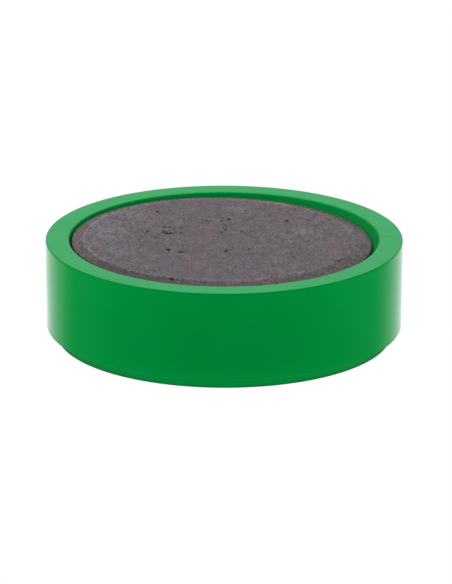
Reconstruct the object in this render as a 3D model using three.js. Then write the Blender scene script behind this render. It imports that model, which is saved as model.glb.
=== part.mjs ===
// A round magnetic holder: a moulded plastic cup with a ferrite disc bonded in it, face up.
// Millimetres, +Z up. The origin is the centre of the cup's underside, on the surface it rests on.
//
// From the bottom up: the cup's floor, a thin bond, a steel back plate that closes the magnet's
// field behind it, a thicker bed of adhesive, and the ferrite disc, which fills the cup to its rim.

import * as THREE from "three";

// ---- driving dimensions ----------------------------------------------------------------------

const CUP = {
  outerRadius: 30, // at the rim
  height: 17,
  draft: 0.2, // the wall's lower edge is this much smaller in radius than the rim
  mouthRadius: 26.1, // inner edge of the rim
  floorThickness: 3,
  footRadius: 28.05, // the stepped-in foot that the cup stands on, at its bottom
  footFlare: 0.5, // how much wider it is where it meets the wall
  footHeight: 1.8,
};

const CUP_ROUNDS = {
  footBottom: 0.2,
  footCorner: 0.25,
  wallLowerEdge: 0.5,
  rimOuterEdge: 0.2,
  rimInnerEdge: 0.4,
  boreCorner: 0.6,
};

// The bore is a little off the rim's centre, so the slope that leads down to it from the mouth is
// widest on the +X side.
const BORE = {
  radius: 25.33,
  offsetX: -0.42,
  slopeDepth: 1.8,
};

const DISC = {
  radius: 25.2,
  thickness: 10,
  bevelHeight: 0.6, // mean height of the shallow cone round the working face
  bevelWidth: 2.4, // mean width of that cone
  backEdgeBreak: 0.3,
};

// The disc sank unevenly into its bed, so it leans, with its back nearer the bore's -X side.
const DISC_SEAT = {
  offsetX: -0.37,
  faceZ: 16.9, // height of the working face's centre
  lean: THREE.MathUtils.degToRad(0.82), // about Y, so the -X side stands higher
};

// The working face was ground slightly out of parallel with the pressed blank.
const GRIND_SLOPE = 0.0057; // rise of the face towards +X, measured on the blank

const PLATE = { radius: 25, thickness: 2.5, edgeBreak: 0.3 };
const PLATE_BOND = { radius: 24, thickness: 0.2 };
const DISC_BED = { radius: 24.6, gapToDisc: 0.3 };

const TURN_STEPS = 96; // facets round a full turn
const ROUND_STEP = THREE.MathUtils.degToRad(30); // largest step along a rounded corner

const TOUCH = 0.01; // vertices closer in height than this are at the same height

// ---- shared helpers --------------------------------------------------------------------------

// An outline of straight runs whose corners [radius, height, round] may be rounded.
function roundedOutline(corners) {
  const points = [];
  corners.forEach(([x, y, round = 0], i) => {
    const corner = new THREE.Vector2(x, y);
    if (!round) {
      points.push(corner);
      return;
    }
    const before = new THREE.Vector2(...corners[i - 1]).sub(corner).normalize();
    const after = new THREE.Vector2(...corners[i + 1]).sub(corner).normalize();
    const halfAngle = Math.acos(before.dot(after)) / 2;
    const middle = before.clone().add(after).normalize();
    const centre = corner.clone().addScaledVector(middle, round / Math.sin(halfAngle));
    const start = corner.clone().addScaledVector(before, round / Math.tan(halfAngle));
    const end = corner.clone().addScaledVector(after, round / Math.tan(halfAngle));
    const from = start.sub(centre);
    const to = end.sub(centre);
    const sweep = Math.atan2(from.cross(to), from.dot(to));
    const steps = Math.max(2, Math.ceil(Math.abs(sweep) / ROUND_STEP));
    for (let k = 0; k <= steps; k++) {
      const spoke = from.clone().rotateAround(new THREE.Vector2(), (sweep * k) / steps);
      points.push(spoke.add(centre));
    }
  });
  return points;
}

// A solid of revolution about Z from an outline that starts and ends on the axis, bottom first.
function turned(outline) {
  return new THREE.LatheGeometry(outline, TURN_STEPS).rotateX(Math.PI / 2);
}

// Moves each vertex of a geometry to the place that placeOf gives for it.
function reshaped(geometry, placeOf) {
  const position = geometry.getAttribute("position");
  const vertex = new THREE.Vector3();
  for (let i = 0; i < position.count; i++) {
    vertex.fromBufferAttribute(position, i);
    position.setXYZ(i, ...placeOf(vertex.x, vertex.y, vertex.z));
  }
  return geometry;
}

function piece(name, geometry, { color, roughness, metalness = 0 }) {
  const material = new THREE.MeshStandardMaterial({ color, roughness, metalness });
  const mesh = new THREE.Mesh(geometry, material);
  mesh.name = name;
  return mesh;
}

// ---- pieces ----------------------------------------------------------------------------------

function makeHousing() {
  const wallFoot = CUP.outerRadius - CUP.draft;
  const outline = roundedOutline([
    [0, 0],
    [CUP.footRadius, 0, CUP_ROUNDS.footBottom],
    [CUP.footRadius + CUP.footFlare, CUP.footHeight, CUP_ROUNDS.footCorner],
    [wallFoot, CUP.footHeight, CUP_ROUNDS.wallLowerEdge],
    [CUP.outerRadius, CUP.height, CUP_ROUNDS.rimOuterEdge],
    [CUP.mouthRadius, CUP.height, CUP_ROUNDS.rimInnerEdge],
    [BORE.radius, CUP.height - BORE.slopeDepth],
    [BORE.radius, CUP.floorThickness, CUP_ROUNDS.boreCorner],
    [0, CUP.floorThickness],
  ]);
  const inMouth = (x, y, z) => Math.hypot(x, y) < CUP.mouthRadius && z > CUP.floorThickness - TOUCH;
  const shiftAt = (z) => BORE.offsetX * Math.min(1, (CUP.height - z) / BORE.slopeDepth);
  const placeOf = (x, y, z) => [inMouth(x, y, z) ? x + shiftAt(z) : x, y, z];
  return piece("housing", reshaped(turned(outline), placeOf), { color: 0x008a3c, roughness: 0.38 });
}

function makePlateBond() {
  const top = CUP.floorThickness + PLATE_BOND.thickness;
  const outline = roundedOutline([
    [0, CUP.floorThickness],
    [PLATE_BOND.radius, CUP.floorThickness],
    [PLATE_BOND.radius, top],
    [0, top],
  ]);
  return piece("plate_adhesive", turned(outline), { color: 0xb9a878, roughness: 0.3 });
}

const plateBottom = CUP.floorThickness + PLATE_BOND.thickness;
const plateTop = plateBottom + PLATE.thickness;

function makeBackPlate() {
  const flat = PLATE.radius - PLATE.edgeBreak;
  const outline = roundedOutline([
    [0, plateBottom],
    [flat, plateBottom],
    [PLATE.radius, plateBottom + PLATE.edgeBreak],
    [PLATE.radius, plateTop - PLATE.edgeBreak],
    [flat, plateTop],
    [0, plateTop],
  ]);
  return piece("back_plate", turned(outline), {
    color: 0xa9abab,
    roughness: 0.35,
    metalness: 0.9,
  });
}

// The bed follows the leaning underside of the disc, so it is a shallow wedge.
function makeDiscBed() {
  const underside = DISC_SEAT.faceZ - DISC.thickness / Math.cos(DISC_SEAT.lean);
  const fromDiscCentre = BORE.offsetX - DISC_SEAT.offsetX;
  const wedgeTop = (x) =>
    underside - DISC_BED.gapToDisc - Math.tan(DISC_SEAT.lean) * (x + fromDiscCentre);
  const outline = roundedOutline([
    [0, plateTop],
    [DISC_BED.radius, plateTop],
    [DISC_BED.radius, plateTop + 1],
    [0, plateTop + 1],
  ]);
  const middle = plateTop + 0.5;
  const placeOf = (x, y, z) => [x, y, z > middle ? wedgeTop(x) : z];
  const geometry = reshaped(turned(outline), placeOf);
  return piece("magnet_adhesive", geometry, { color: 0xb9a878, roughness: 0.3 });
}

// The disc hangs down from its own origin, the centre of the working face.
function makeMagnet() {
  const slope = DISC.bevelHeight / DISC.bevelWidth;
  const flatRadius = DISC.radius - DISC.bevelWidth;
  const outline = roundedOutline([
    [0, -DISC.thickness],
    [DISC.radius - DISC.backEdgeBreak, -DISC.thickness],
    [DISC.radius, -DISC.thickness + DISC.backEdgeBreak],
    [DISC.radius, -DISC.bevelHeight],
    [flatRadius, 0],
    [0, 0],
  ]);
  // The ground plane meets the cone further in where it is higher, so the bevel widens to +X.
  const placeOf = (x, y, z) => {
    const r = Math.hypot(x, y);
    if (z < -TOUCH || r < flatRadius / 2) return [x, y, z];
    const edge = (slope * flatRadius) / (slope + (GRIND_SLOPE * x) / r);
    return [(x * edge) / r, (y * edge) / r, (GRIND_SLOPE * x * edge) / r];
  };
  const geometry = reshaped(turned(outline), placeOf);
  return piece("ferrite_magnet", geometry, { color: 0x5d5758, roughness: 0.6 });
}

// ---- assembly --------------------------------------------------------------------------------

const discSeat = new THREE.Group();
discSeat.position.set(DISC_SEAT.offsetX, 0, DISC_SEAT.faceZ);
discSeat.rotation.y = DISC_SEAT.lean;
discSeat.add(makeMagnet());

const boreCentre = new THREE.Group();
boreCentre.position.x = BORE.offsetX;
boreCentre.add(makePlateBond(), makeBackPlate(), makeDiscBed());

const magnetHolder = new THREE.Group();
magnetHolder.add(makeHousing(), boreCentre, discSeat);

export default magnetHolder;
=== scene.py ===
import math

import bpy
import numpy as np
from mathutils import Matrix, Vector


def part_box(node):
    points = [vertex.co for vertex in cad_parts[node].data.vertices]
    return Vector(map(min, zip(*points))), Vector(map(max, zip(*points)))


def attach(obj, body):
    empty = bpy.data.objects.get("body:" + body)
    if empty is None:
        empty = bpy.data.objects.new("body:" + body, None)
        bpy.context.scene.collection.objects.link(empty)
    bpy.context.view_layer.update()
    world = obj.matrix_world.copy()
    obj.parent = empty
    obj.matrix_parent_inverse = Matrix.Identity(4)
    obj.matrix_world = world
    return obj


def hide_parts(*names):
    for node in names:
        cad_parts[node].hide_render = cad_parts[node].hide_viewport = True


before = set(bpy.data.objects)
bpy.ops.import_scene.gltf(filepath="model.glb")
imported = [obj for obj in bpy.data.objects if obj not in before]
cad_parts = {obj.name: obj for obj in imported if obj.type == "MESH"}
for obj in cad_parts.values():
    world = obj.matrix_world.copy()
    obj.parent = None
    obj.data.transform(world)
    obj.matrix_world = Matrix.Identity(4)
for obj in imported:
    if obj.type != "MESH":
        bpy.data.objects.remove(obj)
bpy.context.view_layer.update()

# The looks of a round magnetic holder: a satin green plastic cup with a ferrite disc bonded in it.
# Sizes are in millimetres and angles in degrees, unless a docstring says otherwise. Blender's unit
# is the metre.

MM = 0.001
_, HOUSING_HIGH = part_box("housing")
PLATE_LOW, PLATE_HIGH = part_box("back_plate")
PLATE_BOND_LOW, PLATE_BOND_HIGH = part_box("plate_adhesive")
DISC_BED_LOW, DISC_BED_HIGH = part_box("magnet_adhesive")

# ---- sizes -----------------------------------------------------------------------------------

CUP_HEIGHT = HOUSING_HIGH.z / MM
CUP_RADIUS = round(HOUSING_HIGH.x / MM, 1)
WALL_DRAFT = 0.2
MOUTH_RADIUS = 26.1
BORE_RADIUS = 25.33
BORE_OFFSET_X = -0.42
SLOPE_DEPTH = 1.8
FLOOR_TOP = PLATE_BOND_LOW.z / MM
FOOT_RADIUS = 28.05
FOOT_FLARE = 0.5
FOOT_HEIGHT = 1.8

DISC_RADIUS = 25.2
DISC_THICKNESS = 10
BEVEL_HEIGHT = 0.6
BEVEL_WIDTH = 2.4
BACK_EDGE_BREAK = 0.3
DISC_OFFSET_X = -0.37
DISC_FACE_Z = 16.9
DISC_LEAN = 0.82
GRIND_SLOPE = 0.0057

# ---- camera and light ------------------------------------------------------------------------

CAMERA_ELEVATION = 18.07
CAMERA_DISTANCE = 1161
CAMERA_LENS = 425.2
CAMERA_ROLL = 0.137
CAMERA_SHIFT = (0.0033, -0.0098)


def make_camera():
    """A long lens that looks down a little, aimed at half the cup's height."""
    data = bpy.data.cameras.new("camera")
    data.lens = CAMERA_LENS
    data.sensor_width = 36
    data.shift_x, data.shift_y = CAMERA_SHIFT
    data.clip_start, data.clip_end = 0.01, 10
    camera = bpy.data.objects.new("camera", data)
    rise = math.radians(CAMERA_ELEVATION)
    back = Vector((0, -math.cos(rise), math.sin(rise)))
    camera.location = Vector((0, 0, CUP_HEIGHT * MM / 2)) + back * CAMERA_DISTANCE * MM
    level = (-back).to_track_quat("-Z", "Y").to_matrix()
    camera.rotation_euler = (level @ Matrix.Rotation(math.radians(CAMERA_ROLL), 3, "Z")).to_euler()
    bpy.context.scene.collection.objects.link(camera)
    bpy.context.scene.camera = camera


def make_softbox(name, place, size, power):
    """A square area light in metres, aimed at the object."""
    data = bpy.data.lights.new(name, "AREA")
    data.size = size
    data.energy = power
    lamp = bpy.data.objects.new(name, data)
    lamp.location = place
    lamp.rotation_euler = (-Vector(place)).to_track_quat("-Z", "Y").to_euler()
    bpy.context.scene.collection.objects.link(lamp)


FLOOR_SIZE = 6000
# The light that the table gives: little from a patch in front of the object, and none under it.
FLOOR_GLOW = {"least": 0.3, "most": 1.35, "patch_y": -80, "from": 35, "to": 105}
CONTACT_SHADE = (28.0, 28.8)
# Close round the object the table is lit again, and reflections find it dim.
NEAR_RING = {"glow": 0.93, "from": 30, "to": 36, "mirrored": 0.08, "mirror_edge": 31}
# An even dome lights the object. Reflections find it dim in front and bright behind.
SOFT_LIGHT = 0.68
MIRRORED_LIGHT = {"front": 0.06, "back": 1.2, "from": 0.35, "to": 1.0, "above": 0.38, "below": 0.95}
# Reflections find the light above the horizon a little blue.
COOL_ABOVE = (1, 1, 1.22, 1)
HORIZON_BLEND = 0.3


class Nodes:
    """Short ways to add nodes to the tree of a material or a world."""

    def __init__(self, tree):
        self.tree = tree

    def add(self, kind, inputs=None, **settings):
        """Adds a node, then links or sets its inputs, which are given by name or number."""
        node = self.tree.nodes.new(kind)
        for name, value in settings.items():
            setattr(node, name, value)
        for socket, value in (inputs or {}).items():
            if isinstance(value, bpy.types.NodeSocket):
                self.tree.links.new(value, node.inputs[socket])
            else:
                node.inputs[socket].default_value = value
        return node

    def math(self, operation, a, b=0.0):
        return self.add("ShaderNodeMath", {0: a, 1: b}, operation=operation).outputs[0]

    def between(self, value, low, high, to_low=0.0, to_high=1.0, ease="LINEAR"):
        """Maps value from low..high to to_low..to_high, held at the ends."""
        numbers = {"From Min": low, "From Max": high, "To Min": to_low, "To Max": to_high}
        node = self.add("ShaderNodeMapRange", {"Value": value, **numbers}, interpolation_type=ease)
        return node.outputs["Result"]

    def choose(self, share, a, b):
        """The number a turned towards b by share."""
        return self.add("ShaderNodeMix", {"Factor": share, "A": a, "B": b}).outputs["Result"]

    def mix(self, share, a, b, blend="MIX"):
        """The colour a turned towards b by share."""
        inputs = {"Factor": share, 6: a, 7: b}
        node = self.add("ShaderNodeMix", inputs, data_type="RGBA", blend_type=blend)
        return node.outputs[2]


def make_world():
    """An even dome whose reflections are brighter behind the object. The camera sees plain white."""
    world = bpy.data.worlds.new("studio")
    bpy.context.scene.world = world
    world.use_nodes = True
    s = Nodes(world.node_tree)
    place = s.add("ShaderNodeTexCoord").outputs["Generated"]
    toward = s.add("ShaderNodeSeparateXYZ", {0: place}).outputs
    path = s.add("ShaderNodeLightPath").outputs

    light = MIRRORED_LIGHT
    far = s.between(toward["Y"], light["from"], light["to"], light["front"], light["back"], "SMOOTHSTEP")
    level = s.between(toward["Z"], -HORIZON_BLEND, HORIZON_BLEND, light["below"], light["above"])
    mirrored = s.math("MULTIPLY", far, level)
    strength = s.choose(path["Is Glossy Ray"], SOFT_LIGHT, mirrored)
    strength = s.choose(path["Is Camera Ray"], strength, 1.0)
    cool = s.math("MULTIPLY", s.between(toward["Z"], 0, HORIZON_BLEND), path["Is Glossy Ray"])
    colour = s.mix(cool, (1, 1, 1, 1), COOL_ABOVE)

    background = s.tree.nodes["Background"]
    s.tree.links.new(colour, background.inputs["Color"])
    s.tree.links.new(strength, background.inputs["Strength"])
    view = bpy.context.scene.view_settings
    view.view_transform = "Standard"
    view.look = "None"


def make_floor():
    """A white light table, clear to a camera below it and to reflections away from the object.

    It is open under the object, so that the underside is lit as well.
    """
    half = FLOOR_SIZE * MM / 2
    corners = [(-half, -half, 0), (half, -half, 0), (half, half, 0), (-half, half, 0)]
    mesh = bpy.data.meshes.new("floor")
    mesh.from_pydata(corners, [], [(0, 1, 2, 3)])
    floor = bpy.data.objects.new("floor", mesh)
    bpy.context.scene.collection.objects.link(floor)
    material = bpy.data.materials.new("floor")
    material.use_nodes = True
    material.node_tree.nodes.clear()
    s = Nodes(material.node_tree)
    path = s.add("ShaderNodeLightPath").outputs
    place = s.add("ShaderNodeTexCoord").outputs["Object"]
    distance = s.add("ShaderNodeVectorMath", {0: place}, operation="LENGTH").outputs["Value"]

    def eased(value, low, high, to_low, to_high):
        return s.between(value, low * MM, high * MM, to_low, to_high, "SMOOTHSTEP")

    light, ring = FLOOR_GLOW, NEAR_RING
    patch = (0, light["patch_y"] * MM, 0)
    away = s.add("ShaderNodeVectorMath", {0: place, 1: patch}, operation="DISTANCE").outputs["Value"]
    glow = eased(away, light["from"], light["to"], light["least"], light["most"])
    glow = s.math("MAXIMUM", glow, eased(distance, ring["from"], ring["to"], ring["glow"], 0))
    lit = s.math("MULTIPLY", eased(distance, *CONTACT_SHADE, 0, 1), glow)
    lit = s.choose(path["Is Glossy Ray"], lit, ring["mirrored"])
    shown = s.choose(path["Is Camera Ray"], lit, 1.0)
    table = s.add("ShaderNodeEmission", {"Strength": shown}).outputs[0]
    clear = s.add("ShaderNodeBsdfTransparent").outputs[0]

    below = s.add("ShaderNodeNewGeometry").outputs["Backfacing"]
    outside = s.math("GREATER_THAN", distance, ring["mirror_edge"] * MM)
    past_mirror = s.math("MULTIPLY", outside, path["Is Glossy Ray"])
    under = s.math("LESS_THAN", distance, CONTACT_SHADE[0] * MM)
    not_camera = s.math("SUBTRACT", 1.0, path["Is Camera Ray"])
    open_under = s.math("MULTIPLY", under, not_camera)
    unseen = s.math("MAXIMUM", s.math("MAXIMUM", below, past_mirror), open_under)
    surface = s.add("ShaderNodeMixShader", {0: unseen, 1: table, 2: clear}).outputs[0]
    s.add("ShaderNodeOutputMaterial", {"Surface": surface})
    mesh.materials.append(material)


make_camera()
make_world()
make_floor()
make_softbox("overhead", (-0.1, 0.15, 0.8), 0.7, 3.0)

# ---- mesh helpers ----------------------------------------------------------------------------

ROUND_STEP = 9
SUPPORT = 0.05


def rounded_outline(corners):
    """Points (radius, height) of straight runs whose corners (radius, height, round) may be rounded."""
    points = []
    for i, (x, y, *rest) in enumerate(corners):
        corner = np.array([x, y], float)
        radius = rest[0] if rest else 0
        if not radius:
            points.append(corner)
            continue
        before = np.array(corners[i - 1][:2], float) - corner
        after = np.array(corners[i + 1][:2], float) - corner
        before /= np.linalg.norm(before)
        after /= np.linalg.norm(after)
        half = math.acos(np.clip(before @ after, -1, 1)) / 2
        middle = (before + after) / np.linalg.norm(before + after)
        centre = corner + middle * radius / math.sin(half)
        start = corner + before * radius / math.tan(half) - centre
        end = corner + after * radius / math.tan(half) - centre
        sweep = math.atan2(start[0] * end[1] - start[1] * end[0], start @ end)
        steps = max(2, math.ceil(abs(math.degrees(sweep)) / ROUND_STEP))
        for k in range(steps + 1):
            c, s = math.cos(sweep * k / steps), math.sin(sweep * k / steps)
            points.append(centre + [start[0] * c - start[1] * s, start[0] * s + start[1] * c])
    return points


def with_runs_divided(points, longest):
    """Adds points along each straight run: one close to each end, and others no more than longest apart."""
    out = [points[0]]
    for a, b in zip(points, points[1:]):
        length = np.linalg.norm(b - a)
        if length > 6 * SUPPORT:
            inner = np.linspace(SUPPORT, length - SUPPORT, max(2, math.ceil(length / longest) + 1))
            out += [a + (b - a) * t / length for t in inner]
        out.append(b)
    return out


def spun_mesh(outline, angles):
    """A closed solid of revolution. The outline starts and ends on the axis; angles are in radians."""
    first, last = outline[0][1], outline[-1][1]
    rings = np.array(outline[1:-1])
    count, turns = len(rings), len(angles)
    radius, height = rings[:, 0][:, None], rings[:, 1][:, None]
    x, y = radius * np.cos(angles), radius * np.sin(angles)
    ring_points = np.stack([x, y, np.broadcast_to(height, x.shape)], -1).reshape(-1, 3)
    vertices = np.vstack([ring_points, [(0, 0, first), (0, 0, last)]])
    ahead = (np.arange(turns) + 1) % turns
    quads = [
        (r * turns + k, r * turns + ahead[k], (r + 1) * turns + ahead[k], (r + 1) * turns + k)
        for r in range(count - 1)
        for k in range(turns)
    ]
    low, high = count * turns, count * turns + 1
    top = (count - 1) * turns
    fans = [(low, ahead[k], k) for k in range(turns)]
    fans += [(high, top + k, top + ahead[k]) for k in range(turns)]
    return vertices, [tuple(int(i) for i in face) for face in quads + fans]


def make_piece(name, vertices, faces, material, node):
    """Turns points in millimetres into a smooth piece that stands for a CAD node."""
    mesh = bpy.data.meshes.new(name)
    mesh.from_pydata([tuple(p) for p in np.asarray(vertices) * MM], [], faces)
    mesh.validate()
    mesh.shade_smooth()
    mesh.materials.append(material)
    thing = bpy.data.objects.new(name, mesh)
    bpy.context.scene.collection.objects.link(thing)
    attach(thing, "root")
    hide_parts(node)
    return thing


def set_values(thing, name, values):
    """Stores one number per vertex, which the material reads by name."""
    attribute = thing.data.attributes.new(name, "FLOAT", "POINT")
    attribute.data.foreach_set("value", np.asarray(values, np.float32))


def bump_shape(distance):
    """1 at distance 0, falling smoothly to 0 at distance 1."""
    t = np.clip(1 - distance, 0, 1)
    return t * t * (3 - 2 * t)


def wavy(points, rng, size, amount, waves=24):
    """A smooth random height at each (x, y), made of sine waves about size long."""
    total = np.zeros(len(points))
    for _ in range(waves):
        heading = rng.uniform(0, 2 * math.pi)
        pitch = size * rng.uniform(0.6, 1.8)
        along = points[:, 0] * math.cos(heading) + points[:, 1] * math.sin(heading)
        total += np.sin(2 * math.pi * along / pitch + rng.uniform(0, 2 * math.pi))
    return total * amount / math.sqrt(waves / 2)


# ---- material helpers ------------------------------------------------------------------------


def linear(red, green, blue):
    """A screen colour from 0 to 255 as the linear colour that shaders take."""

    def one(value):
        value /= 255
        return value / 12.92 if value <= 0.04045 else ((value + 0.055) / 1.055) ** 2.4

    return (one(red), one(green), one(blue), 1)


class Surface(Nodes):
    """A Principled material and short ways to add procedural nodes to it."""

    def __init__(self, name):
        self.material = bpy.data.materials.new(name)
        self.material.use_nodes = True
        super().__init__(self.material.node_tree)
        self.shader = self.tree.nodes["Principled BSDF"]
        self.place = self.add("ShaderNodeTexCoord").outputs["Object"]

    def set(self, **values):
        for name, value in values.items():
            self.shader.inputs[name.replace("_", " ")].default_value = value

    def link(self, output, name):
        self.tree.links.new(output, self.shader.inputs[name])

    def stretched(self, x, y, z):
        """The position in units of the given sizes in millimetres."""
        scale = (1 / (x * MM), 1 / (y * MM), 1 / (z * MM))
        return self.add("ShaderNodeMapping", {"Vector": self.place, "Scale": scale}).outputs["Vector"]

    def noise(self, size, detail=2.0, rough=0.5, warp=0.0):
        """Noise whose features are about size millimetres, or (x, y, z) millimetres."""
        sizes = size if isinstance(size, tuple) else (size, size, size)
        numbers = {"Scale": 1, "Detail": detail, "Roughness": rough, "Distortion": warp}
        inputs = {"Vector": self.stretched(*sizes), **numbers}
        return self.add("ShaderNodeTexNoise", inputs).outputs["Fac"]

    def value(self, name):
        """The number that the mesh stores per vertex under this name."""
        return self.add("ShaderNodeAttribute", attribute_name=name).outputs["Fac"]

    def bump(self, height, depth, below=None):
        """A bump of the given depth in millimetres, on top of another bump."""
        inputs = {"Strength": 1, "Distance": depth * MM, "Height": height}
        if below is not None:
            inputs["Normal"] = below
        return self.add("ShaderNodeBump", inputs).outputs["Normal"]


# ---- materials -------------------------------------------------------------------------------


def green_plastic():
    """Satin moulded plastic: even colour, a fine moulded grain, and slight handling marks in the gloss, with
    painted shade in the mouth and painted shade lines along edges, grooves and the nick.
    """
    s = Surface("green_plastic")
    base = linear(0, 168, 71)
    shade = s.mix(s.between(s.noise(7, 3), 0.35, 0.65), base, linear(0, 165, 69))
    # Painted shade: the mouth and the bore are painted a darker green, standing in for the shade in the
    # recess round the magnet. Their roughness is raised as well.
    shade = s.mix(s.value("mouth_painted_shade"), shade, linear(0, 141, 49))
    # Painted shade along the rim's outer edge, the foot's bottom edge, the knit grooves and the nick.
    shade = s.mix(s.value("painted_line_shade"), shade, linear(4, 96, 48))
    s.link(shade, "Base Color")
    smudge = s.between(s.noise((9, 14, 5), 3, 0.55, 0.6), 0.35, 0.7, 0.13, 0.19)
    fine = s.between(s.noise(0.25, 2), 0.3, 0.7, -0.03, 0.03)
    gloss = s.math("ADD", smudge, fine)
    s.link(s.math("ADD", gloss, s.between(s.value("mouth_painted_shade"), 0, 1, 0, 0.7)), "Roughness")
    s.link(s.bump(s.noise(0.22, 2), 0.0015), "Normal")
    s.set(Specular_IOR_Level=0.35, IOR=1.5, Specular_Tint=(0, 1, 1, 1))
    return s.material


def ferrite():
    """Ground sintered ferrite: mauve grey, mottled at every size, with rust-brown stains, painted shade on
    the bevel and in the pits, an edge lightened by wear and a painted highlight, and a side wall painted
    pale as painted light.
    """
    s = Surface("ferrite")
    grey, mauve = linear(79, 75, 73), linear(86, 69, 71)
    brown, pale = linear(96, 69, 58), linear(116, 115, 119)
    tint = s.mix(s.between(s.noise((0.6, 1.6, 0.6), 2, 0.6), 0.38, 0.62), grey, mauve)
    tint = s.mix(s.between(s.noise((5, 8, 5), 3, 0.6, 0.5), 0.5, 0.7, 0, 0.4), tint, brown)
    tint = s.mix(s.value("stain"), tint, brown)
    # Pale rubbed patches on the face. The disc's side wall is painted pale all over, as painted light in the
    # dark slot round it.
    tint = s.mix(s.value("pale_rub_and_side_light"), tint, pale)
    grain = s.between(s.noise((0.42, 0.85, 0.36), 3, 0.75), 0.37, 0.63, 0.33, 1.67)
    streaks = s.between(s.noise((4, 0.5, 1), 3, 0.65), 0.3, 0.7, 0.85, 1.15)
    mottle = s.between(s.noise((1.6, 3.0, 1.6), 3, 0.6), 0.35, 0.65, 0.84, 1.16)
    light = s.math("MULTIPLY", s.math("MULTIPLY", grain, streaks), mottle)
    # The edge of the working face is lightened: partly wear, partly a painted highlight.
    light = s.math("MULTIPLY", light, s.between(s.value("edge_wear_and_highlight"), 0, 1, 1, 1.6))
    # Painted shade on the bevel, over one arc and along the front of the outer edge.
    light = s.math("MULTIPLY", light, s.between(s.value("painted_bevel_shade"), 0, 1, 1, 0.0))
    # Pits and chips are painted darker by their depth, as painted shade in the hollows.
    light = s.math("MULTIPLY", light, s.between(s.value("pit"), 0, 1, 1, 0.1))
    tone = s.add("ShaderNodeCombineColor", {"Red": light, "Green": light, "Blue": light})
    s.link(s.mix(1.0, tint, tone.outputs["Color"], "MULTIPLY"), "Base Color")
    gloss = s.between(s.noise((1.5, 2.5, 1), 3, 0.6), 0.3, 0.7, 0.30, 0.48)
    s.link(s.math("ADD", gloss, s.between(s.value("pit"), 0, 1, 0, 0.5)), "Roughness")
    relief = s.bump(s.noise((2.2, 3.0, 2.2), 2), 0.05)
    relief = s.bump(s.noise((0.3, 0.6, 0.3), 3, 0.75), 0.035, relief)
    relief = s.bump(s.noise((4.0, 0.5, 1), 2, 0.6), 0.01, relief)
    s.link(relief, "Normal")
    s.set(IOR=1.6, Specular_IOR_Level=0.5)
    return s.material


def plated_steel():
    """Zinc-plated punched steel: pale, slightly blue, with a spangled gloss."""
    s = Surface("plated_steel")
    spangle = s.between(s.noise(3, 3), 0.35, 0.65)
    s.link(s.mix(spangle, linear(196, 198, 200), linear(184, 190, 196)), "Base Color")
    s.link(s.between(s.noise(1.2, 3), 0.3, 0.7, 0.28, 0.42), "Roughness")
    s.link(s.bump(s.noise(0.4, 2), 0.004), "Normal")
    s.set(Metallic=1.0)
    return s.material


def amber_adhesive():
    """Cured two-part adhesive: glossy, amber, with small bubbles under the skin."""
    s = Surface("adhesive")
    cloud = s.between(s.noise(2, 3), 0.35, 0.65)
    s.link(s.mix(cloud, linear(188, 164, 108), linear(170, 142, 84)), "Base Color")
    s.link(s.between(s.noise(1.0, 2), 0.3, 0.7, 0.12, 0.3), "Roughness")
    s.link(s.bump(s.noise(0.8, 2), 0.01), "Normal")
    s.set(IOR=1.55)
    return s.material


# ---- housing ---------------------------------------------------------------------------------

TURN_STEPS = 360
# How far apart the outline's points may be: in general, and where the rim and the gate have marks.
OUTLINE_STEP = 2.0
MARKED_STEP = 0.14
# Where the plastic met in the mould: angle and depth of the fine groove across the rim.
KNIT_LINES = [(162.7, 0.085), (2.0, 0.06)]
KNIT_HALF_WIDTH = 0.11
# The groove's depth at the mouth and down the wall, as shares of its depth at the rim's outer edge.
KNIT_AT_MOUTH = 0.35
KNIT_IN_WALL = 0.15
# How dark the groove is painted for each millimetre of its depth, as painted shade in the groove.
KNIT_DARKNESS = 5
# A short scratch in the rim. Its curve is how far its ends bend, in half-widths.
NICK = {
    "angle": 244.3,
    "radius": 28.5,
    "length": 2.0,
    "width": 0.36,
    "depth": 0.10,
    "heading": -70,
    "curve": 0.8,
}
# The mark under the cup where the plastic was let into the mould.
GATE = {"radius": 2.2, "depth": 0.25, "nub_radius": 0.7, "nub_height": 0.15}


def housing_angles():
    """Even steps round the turn, with close ones where the rim has a fine mark."""
    steps = list(np.arange(TURN_STEPS) * 360 / TURN_STEPS)
    for angle, _ in KNIT_LINES:
        steps += list(angle + np.linspace(-0.6, 0.6, 17))
    steps += list(NICK["angle"] + np.linspace(-2.0, 2.0, 33))
    return np.radians(np.unique(np.round(np.mod(steps, 360), 3)))


def housing_outline():
    wall_foot = CUP_RADIUS - WALL_DRAFT
    corners = rounded_outline([
        (0, 0),
        (FOOT_RADIUS, 0, 0.2),
        (FOOT_RADIUS + FOOT_FLARE, FOOT_HEIGHT, 0.25),
        (wall_foot, FOOT_HEIGHT, 0.3),
        (CUP_RADIUS, CUP_HEIGHT, 0.22),
        (MOUTH_RADIUS, CUP_HEIGHT, 0.4),
        (BORE_RADIUS, CUP_HEIGHT - SLOPE_DEPTH, 0.3),
        (BORE_RADIUS, FLOOR_TOP, 0.6),
        (0, FLOOR_TOP),
    ])
    outline = []
    rough = with_runs_divided(corners, OUTLINE_STEP)
    for a, b in zip(rough, rough[1:]):
        outline.append(a)
        on_rim = min(a[1], b[1]) > CUP_HEIGHT - 0.001
        in_gate = max(a[1], b[1]) < 0.001 and a[0] < 2 * GATE["radius"]
        if on_rim or in_gate:
            count = math.ceil(np.linalg.norm(b - a) / MARKED_STEP)
            outline += [a + (b - a) * k / count for k in range(1, count)]
    return outline + [rough[-1]]


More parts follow.
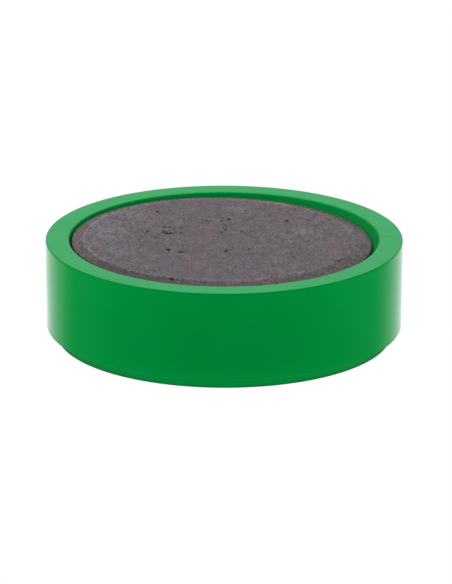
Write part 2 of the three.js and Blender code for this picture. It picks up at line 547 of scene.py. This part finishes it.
def nick_shape(x, y):
    """How deep each (x, y) lies in the small curved nick in the rim, from 0 to 1."""
    nick_at = math.radians(NICK["angle"])
    dx = x - NICK["radius"] * math.cos(nick_at)
    dy = y - NICK["radius"] * math.sin(nick_at)
    heading = math.radians(NICK["heading"])
    along = (dx * math.cos(heading) + dy * math.sin(heading)) / (NICK["length"] / 2)
    across = (-dx * math.sin(heading) + dy * math.cos(heading)) / (NICK["width"] / 2)
    return bump_shape(np.hypot(along, across - NICK["curve"] * along**2))


def make_housing():
    vertices, faces = spun_mesh(housing_outline(), housing_angles())
    x, y, z = vertices.T
    radius, angle = np.hypot(x, y), np.degrees(np.arctan2(y, x))
    in_mouth = np.where(z > FLOOR_TOP - 0.01, np.clip((MOUTH_RADIUS + 0.1 - radius) / 0.2, 0, 1), 0)
    sinks = np.clip((CUP_HEIGHT - z) / SLOPE_DEPTH, 0, 1)
    x += BORE_OFFSET_X * sinks * (in_mouth > 0.5)
    on_rim = z > CUP_HEIGHT - 0.5
    outside = radius > FOOT_RADIUS + FOOT_FLARE + 0.5
    # Painted shade: a dark line along the rim's outer edge and the foot's bottom edge, and darkening of the
    # knit grooves and the nick by their depth.
    painted_line_shade = 0.6 * bump_shape(np.hypot(radius - CUP_RADIUS, z - CUP_HEIGHT) / 0.3)
    painted_line_shade += bump_shape(z / 0.3) * (radius > FOOT_RADIUS - 0.3) * (z > 0.005)
    for knit_angle, depth in KNIT_LINES:
        off = (angle - knit_angle + 180) % 360 - 180
        across = np.radians(off) * radius
        groove = depth * np.exp(-((across / KNIT_HALF_WIDTH) ** 2))
        groove *= np.interp(radius, [MOUTH_RADIUS, CUP_RADIUS], [KNIT_AT_MOUTH, 1])
        z -= np.where(on_rim, groove, 0)
        painted_line_shade += np.where(on_rim, groove * KNIT_DARKNESS, 0)
        pull = np.where(outside & ~on_rim, groove * KNIT_IN_WALL, 0)
        x -= pull * np.cos(np.radians(angle))
        y -= pull * np.sin(np.radians(angle))
    scratch = nick_shape(x, y)
    z -= np.where(on_rim, NICK["depth"] * scratch, 0)
    painted_line_shade += np.where(on_rim, scratch, 0)
    under = z < 0.001
    dimple = GATE["depth"] * bump_shape((radius - GATE["radius"] * 0.6) / (GATE["radius"] * 0.4))
    nub = GATE["nub_height"] * bump_shape(radius / GATE["nub_radius"])
    z += np.where(under, dimple - nub, 0)
    vertices = np.stack([x, y, z], -1)
    cup = make_piece("cup", vertices, faces, green_plastic(), "housing")
    # The mouth and the bore get painted shade from this mask.
    set_values(cup, "mouth_painted_shade", in_mouth)
    set_values(cup, "painted_line_shade", np.clip(painted_line_shade, 0, 1))


# ---- ferrite disc ----------------------------------------------------------------------------

GRID = 270
FLAT_SHARE = 0.905
# Pits that stand out on the working face: x, y, length along X, width, depth.
PITS = [
    (-10.9, 14.9, 0.6, 1.4, 0.2),
    (-12.5, 3.9, 0.5, 1.3, 0.18),
    (-11.1, 0.1, 0.45, 1.2, 0.15),
    (-9.1, 2.7, 2.0, 1.1, 0.22),
    (-9.8, 3.6, 0.5, 1.2, 0.18),
    (-9.7, 5.9, 0.8, 1.0, 0.12),
    (-8.8, 6.2, 0.5, 1.0, 0.1),
    (-7.0, 6.1, 0.8, 1.0, 0.16),
    (-6.9, 2.9, 0.6, 0.9, 0.12),
    (-8.9, -6.3, 0.6, 1.7, 0.26),
    (-6.8, -7.5, 1.6, 1.0, 0.16),
    (0.7, -6.8, 0.6, 1.5, 0.16),
    (0.0, 9.9, 0.6, 1.1, 0.14),
    (-2.5, 9.6, 0.8, 1.0, 0.12),
    (1.1, 10.9, 0.7, 1.4, 0.18),
    (0.6, 7.4, 0.6, 1.1, 0.12),
    (0.7, 5.1, 0.6, 1.1, 0.12),
    (0.0, 3.5, 0.5, 1.1, 0.12),
    (11.0, 10.3, 0.8, 1.2, 0.16),
    (3.3, 4.1, 0.5, 1.2, 0.14),
    (4.5, -5.3, 0.5, 1.2, 0.12),
]
# Chips along the bevel's inner edge, in the same form.
CHIPS = [
    (-8.3, -21.8, 0.7, 1.1, 0.30),
    (19.5, -11.2, 1.1, 0.8, 0.22),
    (14.7, -8.5, 0.7, 0.5, 0.10),
]
# Where the bevel is painted darker, as painted shade: middle and half-turn in degrees, strength.
PAINTED_BEVEL_ARCS = [(243, 42, 0.55)]
SMALL_PITS = 170
EDGE_CHIPS = 46
# Rust-brown stains and pale rubbed areas on the working face: x, y, half-length, half-width, strength.
STAINS = [
    (-2.2, 4.5, 2.2, 5.5, 0.9),
    (-3.6, -7.0, 2.5, 5.0, 0.5),
    (-4.5, -15.5, 3.4, 5.5, 0.7),
    (-3.0, 18.0, 2.6, 4.0, 0.5),
    (10.0, 13.5, 6.0, 5.0, 0.55),
    (-11.0, 12.5, 2.0, 5.5, 0.5),
    (20.0, -4.5, 3.0, 5.5, 0.7),
    (7.5, -12.0, 4.0, 3.5, 0.4),
    (-9.5, 6.0, 2.5, 3.5, 0.5),
    (13.5, -1.0, 5.0, 4.0, 0.25),
]
RUBBED = [
    (-20.0, 5.0, 6.0, 13.0, 0.38),
    (-15.0, 13.5, 5.0, 6.0, 0.35),
    (8.7, 20.4, 4.5, 2.5, 0.5),
    (13.2, 4.8, 3.5, 3.5, 0.35),
    (-17.0, -8.0, 4.0, 6.0, 0.3),
    (2.5, 17.0, 3.0, 3.0, 0.3),
]


def disc_grid():
    """A square grid folded into a unit disc whose rings are circles: (radius, angle, faces, rim)."""
    side = np.linspace(-1, 1, GRID + 1)
    a, b = (g.ravel() for g in np.meshgrid(side, side))
    flat = np.abs(a) >= np.abs(b)
    radius = np.maximum(np.abs(a), np.abs(b))
    with np.errstate(divide="ignore", invalid="ignore"):
        turn_a = math.pi / 4 * b / a + np.where(a < 0, math.pi, 0)
        turn_b = math.pi / 2 - math.pi / 4 * a / b + np.where(b < 0, math.pi, 0)
    angle = np.where(flat, turn_a, turn_b)
    angle[radius == 0] = 0
    row = GRID + 1
    faces = [
        (j * row + i, j * row + i + 1, (j + 1) * row + i + 1, (j + 1) * row + i)
        for j in range(GRID)
        for i in range(GRID)
    ]
    last = GRID * row
    rim = list(range(GRID)) + [GRID + j * row for j in range(GRID)]
    rim += [last + GRID - i for i in range(GRID)] + [last - j * row for j in range(GRID)]
    return radius, angle, faces, rim


def dents(points, marks, rng):
    """How deep each (x, y) lies in a list of ragged oval marks."""
    depth = np.zeros(len(points))
    for x, y, length, width, deep in marks:
        near = np.nonzero(np.hypot(points[:, 0] - x, points[:, 1] - y) < length + width)[0]
        if not len(near):
            continue
        dx, dy = points[near, 0] - x, points[near, 1] - y
        ragged = 1 + wavy(points[near], rng, 0.4 * (length + width), 0.22, 6)
        distance = np.hypot(dx / (0.6 * length), dy / (0.6 * width)) * ragged
        depth[near] = np.maximum(depth[near], deep * bump_shape(distance))
    return depth


def clouds(points, patches, rng):
    """How strongly each (x, y) lies in a list of soft, ragged patches."""
    strength = np.zeros(len(points))
    for x, y, half_length, half_width, peak in patches:
        ragged = 1 + wavy(points, rng, 3.0, 0.16, 10)
        along, across = (points[:, 0] - x) / half_length, (points[:, 1] - y) / half_width
        distance = np.hypot(along, across) * ragged
        strength = np.maximum(strength, peak * bump_shape(distance))
    return strength


def flat_edge(angle):
    """The radius at which the ground face meets the bevel's cone."""
    slope = BEVEL_HEIGHT / BEVEL_WIDTH
    return slope * (DISC_RADIUS - BEVEL_WIDTH) / (slope + GRIND_SLOPE * np.cos(angle))


def small_pits(rng):
    """Fine pits scattered over the working face."""
    return [
        (*rng.normal((-4, 5), (9, 8)), *rng.uniform(0.22, 0.5, 2), rng.uniform(0.02, 0.07))
        for _ in range(SMALL_PITS)
    ]


def edge_chips(rng):
    """Fine chips along the edge between the working face and the bevel."""
    chips = []
    for turn in rng.uniform(0, 2 * math.pi, EDGE_CHIPS):
        at = flat_edge(turn) + rng.uniform(-0.15, 0.3)
        size = rng.uniform(0.3, 0.8, 2)
        chips.append((at * math.cos(turn), at * math.sin(turn), *size, rng.uniform(0.03, 0.09)))
    return chips


def disc_side(turn, ring, start):
    """Rings of points down the side wall and the faces that join them to ring, then the back."""
    side = rounded_outline([
        (DISC_RADIUS, -BEVEL_HEIGHT),
        (DISC_RADIUS, -DISC_THICKNESS, BACK_EDGE_BREAK),
        (DISC_RADIUS - 1, -DISC_THICKNESS),
    ])
    count = len(ring)
    ahead = np.roll(np.arange(count), -1)
    vertices, faces, above = [], [], ring
    for r, h in with_runs_divided(side, 1.5)[1:]:
        vertices.append(np.stack([r * np.cos(turn), r * np.sin(turn), np.full(count, h)], -1))
        below = start + np.arange(count)
        for k in range(count):
            corners = (above[k], below[k], below[ahead[k]], above[ahead[k]])
            faces.append(tuple(int(i) for i in corners))
        above, start = below, start + count
    vertices.append(np.array([[0, 0, -DISC_THICKNESS]]))
    faces += [(int(above[k]), start, int(above[ahead[k]])) for k in range(count)]
    return vertices, faces


def edge_wear_and_highlight_ring(points, radius, edge, angle, rng):
    """How far the edge of the working face is lightened, from 0 to 1: partly by wear, partly as a painted
    highlight.
    """
    width = 0.2 + 0.3 * np.abs(np.sin(angle))
    patchy = np.clip(0.85 + wavy(points, rng, 9, 0.25), 0, 1)
    return np.exp(-(((radius - edge + 0.12) / width) ** 2)) * patchy


def painted_bevel_band(radius, edge, angle):
    """How much painted shade darkens the bevel: over one arc, and along the front of the disc's outer edge.
    """
    bevel_shade = np.zeros(len(radius))
    for middle, half_turn, strength in PAINTED_BEVEL_ARCS:
        off = (np.degrees(angle) - middle + 180) % 360 - 180
        bevel_shade = np.maximum(bevel_shade, strength * np.exp(-((off / half_turn) ** 2)))
    bevel_shade *= np.clip((radius - edge - 0.05) / 0.2, 0, 1)
    front = np.clip(-1.2 * np.sin(angle), 0, 1)
    return np.maximum(bevel_shade, 0.6 * bump_shape((DISC_RADIUS - radius) / 0.9) * front)


def rusty_edge(points, radius, rng):
    """Rust-brown patches along the disc's outer edge."""
    patchy = np.clip(0.6 + wavy(points, rng, 6, 0.5), 0, 1)
    return 0.8 * np.exp(-(((radius - DISC_RADIUS) / 0.5) ** 2)) * patchy


def make_magnet():
    rng = np.random.default_rng(7)
    share, angle, faces, rim = disc_grid()
    slope = BEVEL_HEIGHT / BEVEL_WIDTH
    flat_radius = DISC_RADIUS - BEVEL_WIDTH
    edge = flat_edge(angle)
    out = np.clip((share - FLAT_SHARE) / (1 - FLAT_SHARE), 0, 1)
    on_flat, on_bevel = share / FLAT_SHARE * edge, edge + out * (DISC_RADIUS - edge)
    radius = np.where(share < FLAT_SHARE, on_flat, on_bevel)
    x, y = radius * np.cos(angle), radius * np.sin(angle)
    points = np.stack([x, y], -1)
    z = np.where(share <= FLAT_SHARE, GRIND_SLOPE * x, -slope * (radius - flat_radius))
    z -= 0.02 * bump_shape(np.abs(radius - edge) / 0.35)

    fine = small_pits(rng)
    pit = dents(points, PITS + CHIPS, rng) + dents(points, fine, rng)
    pit += dents(points, edge_chips(rng), rng)
    pit *= np.clip((1 - share) * 60, 0, 1)
    z -= pit
    z += wavy(points, rng, 1.1, 0.006) * (share > FLAT_SHARE)

    ring = np.array(rim)
    side_points, side_faces = disc_side(angle[ring], ring, len(x))
    vertices = np.vstack([np.stack([x, y, z], -1), *side_points])
    spare = len(vertices) - len(x)

    seat = Matrix.Translation((DISC_OFFSET_X, 0, DISC_FACE_Z))
    seat = seat @ Matrix.Rotation(math.radians(DISC_LEAN), 4, "Y")
    turned = vertices @ np.array(seat.to_3x3()).T + np.array(seat.translation)
    all_faces = faces + side_faces
    disc = make_piece("magnet_disc", turned, all_faces, ferrite(), "ferrite_magnet")

    def store(name, on_face, on_side):
        set_values(disc, name, np.append(on_face, np.full(spare, on_side)))

    # Painted shade in the pits and chips, by their depth.
    store("pit", np.clip(pit / 0.12, 0, 1), 0.0)
    store("edge_wear_and_highlight", edge_wear_and_highlight_ring(points, radius, edge, angle, rng), 0.0)
    store("painted_bevel_shade", painted_bevel_band(radius, edge, angle), 0.0)
    rust = rusty_edge(points, radius, rng)
    store("stain", np.maximum(clouds(points, STAINS, rng), rust), 0.0)
    # The side wall is painted pale: painted light in the slot between the disc and the bore.
    store("pale_rub_and_side_light", clouds(points, RUBBED, rng) * (radius < edge), 1.0)


# ---- hidden pieces ---------------------------------------------------------------------------

HIDDEN_TURN_STEPS = 256
HIDDEN_ANGLES = np.linspace(0, 2 * math.pi, HIDDEN_TURN_STEPS, endpoint=False)
# Waves round a bond's uneven edge. Where their sum is EDGE_REACH, the edge stays where it is.
EDGE_WAVES = (3, 5, 8, 13)
EDGE_REACH = 2.6
EDGE_RANGE = 5


def make_back_plate():
    low, high, radius = PLATE_LOW.z / MM, PLATE_HIGH.z / MM, PLATE_HIGH.y / MM
    outline = rounded_outline([(0, low), (radius, low, 0.25), (radius, high, 0.6), (0, high)])
    vertices, faces = spun_mesh(with_runs_divided(outline, 3), HIDDEN_ANGLES)
    vertices[:, 0] += BORE_OFFSET_X
    make_piece("keeper_plate", vertices, faces, plated_steel(), "back_plate")


def squeezed_out(vertices, rng, spread):
    """Pulls a bond's edge in by an uneven amount, as adhesive runs when it is pressed."""
    x, y, z = vertices.T
    radius, angle = np.hypot(x, y), np.arctan2(y, x)
    pull = np.zeros(len(vertices))
    for waves in EDGE_WAVES:
        pull += rng.uniform(0.3, 1) * np.sin(waves * angle + rng.uniform(0, 2 * math.pi))
    pull = spread * (pull - EDGE_REACH) / EDGE_RANGE
    scale = 1 + np.where(radius > 0, pull / radius.max(), 0)
    return np.stack([x * scale, y * scale, z], -1)


def make_plate_bond(material):
    low, high, radius = PLATE_BOND_LOW.z / MM, PLATE_BOND_HIGH.z / MM, PLATE_BOND_HIGH.y / MM
    outline = rounded_outline([(0, low), (radius, low, 0.08), (radius, high, 0.08), (0, high)])
    vertices, faces = spun_mesh(with_runs_divided(outline, 2), HIDDEN_ANGLES)
    vertices = squeezed_out(vertices, np.random.default_rng(3), 1.2)
    vertices[:, 0] += BORE_OFFSET_X
    make_piece("plate_bond", vertices, faces, material, "plate_adhesive")


def make_disc_bed(material):
    low, radius = DISC_BED_LOW.z / MM, DISC_BED_HIGH.y / MM
    lean = math.tan(math.radians(DISC_LEAN))
    mean_top = DISC_BED_HIGH.z / MM - lean * radius
    outline = rounded_outline([(0, low), (radius, low, 0.1), (radius, mean_top, 0.25), (0, mean_top)])
    vertices, faces = spun_mesh(with_runs_divided(outline, 2), HIDDEN_ANGLES)
    share = (vertices[:, 2] - low) / (mean_top - low)
    vertices[:, 2] -= share * lean * vertices[:, 0]
    vertices = squeezed_out(vertices, np.random.default_rng(5), 1.0)
    vertices[:, 0] += BORE_OFFSET_X
    make_piece("disc_bed", vertices, faces, material, "magnet_adhesive")


make_housing()
make_magnet()
make_back_plate()
adhesive = amber_adhesive()
make_plate_bond(adhesive)
make_disc_bed(adhesive)
